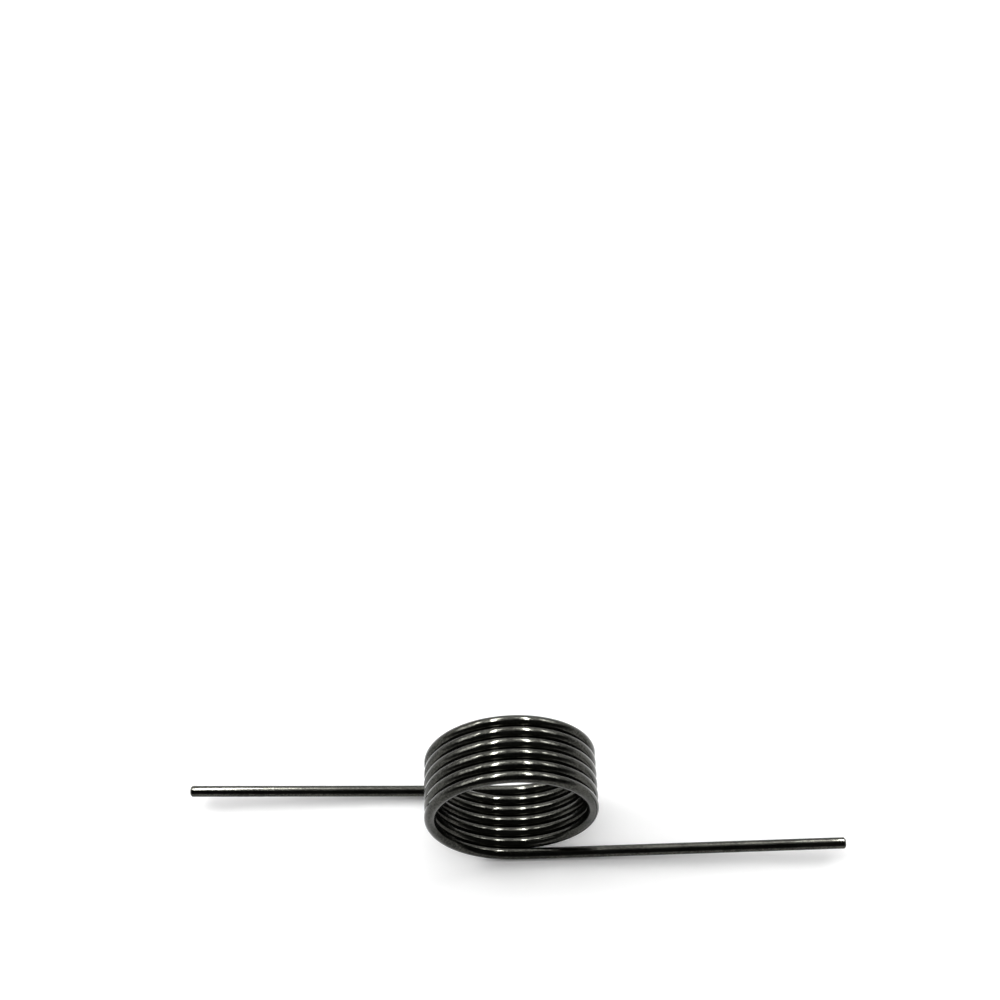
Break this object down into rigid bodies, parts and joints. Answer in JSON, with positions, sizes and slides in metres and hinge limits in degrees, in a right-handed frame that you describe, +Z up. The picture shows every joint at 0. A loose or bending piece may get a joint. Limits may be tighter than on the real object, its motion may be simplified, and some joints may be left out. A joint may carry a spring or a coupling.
{
  "type": "torsion spring",
  "caption": "Close-wound torsion spring of round dark steel wire, with two long straight legs that run out tangentially to opposite sides.",
  "frame": {"origin": "on the coil's axis, at the middle of the coil's length", "axes": "Y is the coil's axis. +Z is up. The spring lies on its coil: the front leg, at the -Y end, runs out along +X, and the rear leg, at the +Y end, along -X."},
  "size_m": [0.0808, 0.0118, 0.0207],
  "materials": {
    "spring_wire": "dark oil-tempered drawn spring wire, smooth and semi-gloss"
  },
  "bodies": {
    "root": {"torsion_spring": "spring_wire"}
  },
  "joints": []
}
